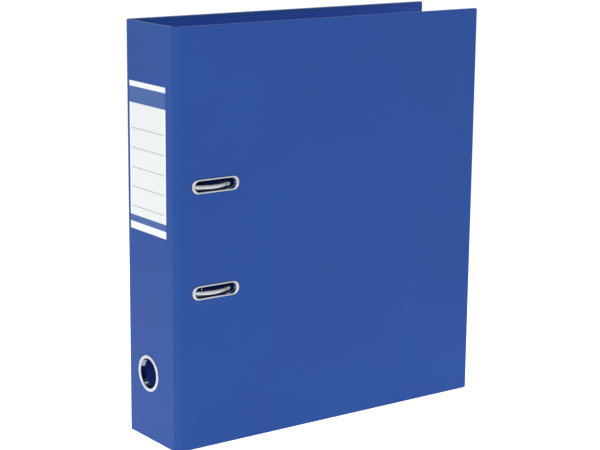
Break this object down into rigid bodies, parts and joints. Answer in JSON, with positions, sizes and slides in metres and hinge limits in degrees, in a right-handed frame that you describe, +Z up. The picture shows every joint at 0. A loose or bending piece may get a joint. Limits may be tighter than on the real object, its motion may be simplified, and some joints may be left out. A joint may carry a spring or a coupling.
{
  "type": "lever arch file",
  "caption": "Upright A4 lever arch file in blue film-covered board with a spine label, finger hole, slotted front cover and a two-arch lever mechanism inside.",
  "frame": {"origin": "middle of the bounding box at the bottom edges it stands on", "axes": "+X from the spine to the free edges, -Y to the front cover, +Z up"},
  "size_m": [0.286, 0.073, 0.318],
  "materials": {
    "blue_foil": "satin blue polypropylene film",
    "grey_board": "uncoated grey board",
    "inner_paper": "plain blue lining",
    "label_paper": "matt printed label, lines and bands only",
    "nickel_plate": "bright nickel-plated steel",
    "spring_steel": "spring steel",
    "grip_nylon": "black nylon"
  },
  "bodies": {
    "back_cover": {"back_board": "grey_board", "back_foil": "blue_foil", "back_liner": "inner_paper", "base_plate": "nickel_plate", "base_rivet_1": "nickel_plate", "base_rivet_2": "nickel_plate", "base_rivet_3": "nickel_plate", "base_rivet_4": "nickel_plate", "post_upper": "nickel_plate", "post_lower": "nickel_plate", "leaf_spring": "spring_steel", "spring_rivet": "nickel_plate", "lever_pivot_pin": "nickel_plate"},
    "back_hinge": {"back_hinge_strip": "blue_foil"},
    "spine": {"spine_board": "grey_board", "spine_foil": "blue_foil", "spine_liner": "inner_paper", "finger_ring": "nickel_plate", "finger_washer": "nickel_plate", "spine_label": "label_paper"},
    "front_hinge": {"front_hinge_strip": "blue_foil"},
    "front_cover": {"front_board": "grey_board", "front_foil": "blue_foil", "front_liner": "inner_paper", "slot_eyelet_upper": "nickel_plate", "slot_eyelet_lower": "nickel_plate"},
    "rings": {"ring_arches": "nickel_plate"},
    "lever": {"lever": "nickel_plate", "roller_pin": "nickel_plate"},
    "roller": {"lever_roller": "nickel_plate"},
    "compressor": {"compressor_bar": "nickel_plate", "compressor_grip_upper": "grip_nylon", "compressor_grip_lower": "grip_nylon"}
  },
  "joints": [
    {"name": "back_crease", "type": "hinge", "parent": "back_cover", "child": "back_hinge", "pos_m": [-0.1378, 0.0351, 0], "axis": [0, 0, -1], "range_deg": [0, 90]},
    {"name": "spine_crease", "type": "hinge", "parent": "back_hinge", "child": "spine", "pos_m": [-0.1416, 0.0313, 0], "axis": [0, 0, -1], "range_deg": [0, 45]},
    {"name": "front_spine_crease", "type": "hinge", "parent": "spine", "child": "front_hinge", "pos_m": [-0.1416, -0.0313, 0], "axis": [0, 0, -1], "range_deg": [0, 90]},
    {"name": "front_cover_crease", "type": "hinge", "parent": "front_hinge", "child": "front_cover", "pos_m": [-0.1378, -0.0351, 0], "axis": [0, 0, -1], "range_deg": [0, 90]},
    {"name": "rings_turn", "type": "hinge", "parent": "back_cover", "child": "rings", "pos_m": [-0.129, 0.02745, 0.1593], "axis": [0, 0, -1], "range_deg": [0, 45], "deforming": ["leaf_spring"]},
    {"name": "lever_lift", "type": "hinge", "parent": "back_cover", "child": "lever", "pos_m": [-0.119, 0.0168, 0.1743], "axis": [-1, 0, 0], "range_deg": [0, 90]},
    {"name": "roller_turn", "type": "hinge", "parent": "lever", "child": "roller", "pos_m": [-0.119, 0.0221, 0.169], "axis": [-1, 0, 0], "continuous": true},
    {"name": "compressor_slide", "type": "slide", "parent": "back_cover", "child": "compressor", "axis": [0, -1, 0], "range_m": [0, 0.028]}
  ],
  "couplings": [
    {"joint": "rings_turn", "follows": "spine_crease", "ratio": 1},
    {"joint": "lever_lift", "follows": "spine_crease", "ratio": 2}
  ]
}
